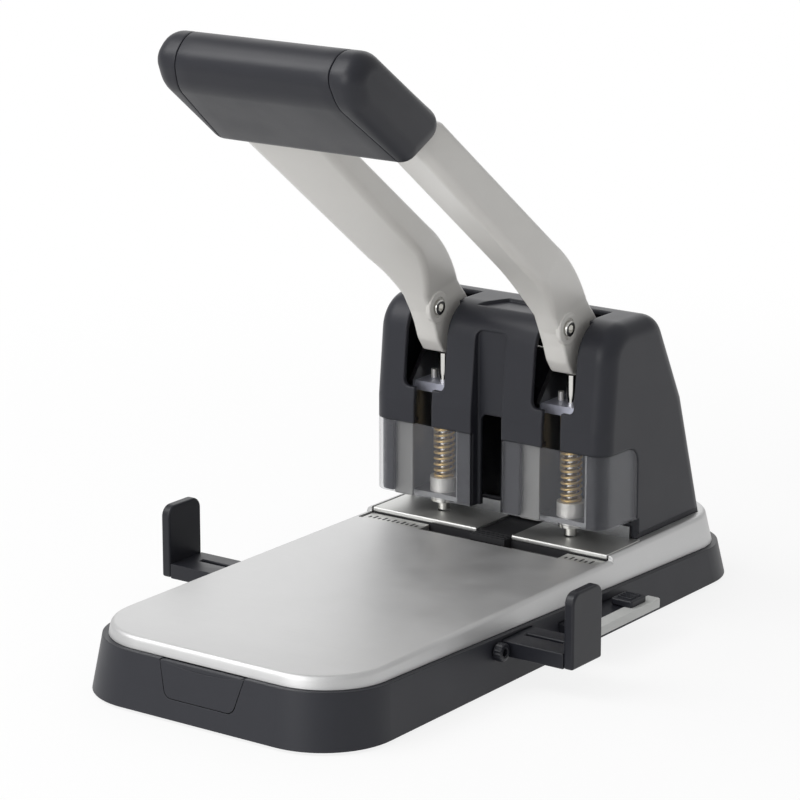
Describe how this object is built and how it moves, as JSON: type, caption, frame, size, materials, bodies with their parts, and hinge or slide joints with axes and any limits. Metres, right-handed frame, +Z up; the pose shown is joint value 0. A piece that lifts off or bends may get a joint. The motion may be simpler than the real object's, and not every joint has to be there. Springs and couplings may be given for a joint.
{
  "type": "two-hole paper punch",
  "caption": "Heavy-duty two-hole paper punch with a long twin-arm lever, clear guards over sprung pins, steel table, side paper guides and a chip drawer.",
  "frame": {"origin": "on the floor, midway between the two punch pins", "axes": "+X to the user's right, +Y to the rear, +Z up"},
  "size_m": [0.2535, 0.3686, 0.3167],
  "materials": {
    "base_plastic": "satin moulded black",
    "foot_rubber": "matt",
    "table_steel": "fine brushed satin",
    "frame_steel": "zinc plated",
    "screw_steel": "dark zinc",
    "carrier_plastic": "matt moulded black",
    "plate_steel": "ground with a bright rounded front edge",
    "tool_steel": "polished hard steel",
    "collar_chrome": "turned and polished",
    "bar_aluminium": "anodised pale blue grey",
    "spring_brass": "bright wire",
    "bush_brass": "turned",
    "housing_plastic": "satin moulded black",
    "clear_plastic": "clear, slightly smoky",
    "arm_paint": "satin warm grey",
    "grip_plastic": "soft satin dark grey",
    "guide_plastic": "satin moulded black",
    "slide_grey": "light grey edge, dark top"
  },
  "bodies": {
    "base": {"base_tray": "base_plastic", "guide_lock_screws": "base_plastic", "foot_pad_front": "foot_rubber", "foot_pad_rear": "foot_rubber", "table_cover": "table_steel", "chassis_plate": "frame_steel", "punch_frame_left": "frame_steel", "punch_frame_right": "frame_steel", "lower_bridge_left": "frame_steel", "lower_bridge_right": "frame_steel", "paper_stop": "frame_steel", "guide_sleeve_left": "frame_steel", "guide_sleeve_right": "frame_steel", "chassis_screws": "screw_steel", "frame_screws": "screw_steel", "guide_bar_screws": "screw_steel", "shaft_clips": "screw_steel", "die_carrier": "carrier_plastic", "chip_chute": "carrier_plastic", "die_plate_left": "plate_steel", "die_plate_right": "plate_steel", "die_bush_left": "tool_steel", "die_bush_right": "tool_steel", "pivot_shaft": "tool_steel", "stripper_ring_left": "tool_steel", "stripper_ring_right": "tool_steel", "guide_collar_left": "collar_chrome", "guide_collar_right": "collar_chrome", "upper_guide_bar_left": "bar_aluminium", "upper_guide_bar_right": "bar_aluminium", "return_spring_left": "spring_brass", "return_spring_right": "spring_brass", "housing_shell": "housing_plastic", "rear_panel": "housing_plastic", "guard_left": "clear_plastic", "guard_right": "clear_plastic"},
    "lever": {"lever_arm_left": "arm_paint", "lever_arm_right": "arm_paint", "arm_bushes": "bush_brass", "arm_screws": "screw_steel", "grip_core": "grip_plastic", "grip_shell": "grip_plastic", "grip_cap_left": "grip_plastic", "grip_cap_right": "grip_plastic"},
    "pin_left": {"punch_pin_left": "tool_steel", "spring_clip_left": "tool_steel"},
    "pin_right": {"punch_pin_right": "tool_steel", "spring_clip_right": "tool_steel"},
    "drawer": {"chip_drawer": "carrier_plastic", "drawer_front": "carrier_plastic"},
    "guide_left": {"guide_arm_left": "guide_plastic", "guide_fence_left": "guide_plastic"},
    "guide_right": {"guide_arm_right": "guide_plastic", "guide_fence_right": "guide_plastic"},
    "slide": {"format_slide": "slide_grey", "slide_stop": "guide_plastic"}
  },
  "joints": [
    {"name": "lever_hinge", "type": "hinge", "parent": "base", "child": "lever", "pos_m": [0, 0.016, 0.134], "axis": [1, 0, 0], "range_deg": [-17, 20], "stiffness_Nm_per_rad": 20, "springref_deg": -6.3},
    {"name": "pin_left_slide", "type": "slide", "parent": "base", "child": "pin_left", "axis": [0, 0, -1], "range_m": [-0.00475, 0.00559], "deforming": ["return_spring_left"]},
    {"name": "pin_right_slide", "type": "slide", "parent": "base", "child": "pin_right", "axis": [0, 0, -1], "range_m": [-0.00475, 0.00559], "deforming": ["return_spring_right"]},
    {"name": "drawer_slide", "type": "slide", "parent": "base", "child": "drawer", "axis": [0, -1, 0], "range_m": [0, 0.2]},
    {"name": "guide_left_slide", "type": "slide", "parent": "base", "child": "guide_left", "axis": [-1, 0, 0], "range_m": [-0.0205, 0.024]},
    {"name": "guide_right_slide", "type": "slide", "parent": "base", "child": "guide_right", "axis": [1, 0, 0], "range_m": [-0.012, 0.0315]},
    {"name": "format_slide_slide", "type": "slide", "parent": "base", "child": "slide", "axis": [1, 0, 0], "range_m": [-0.004, 0.014]}
  ],
  "couplings": [
    {"joint": "pin_left_slide", "follows": "lever_hinge", "m_per_rad": 0.016},
    {"joint": "pin_right_slide", "follows": "lever_hinge", "m_per_rad": 0.016}
  ]
}
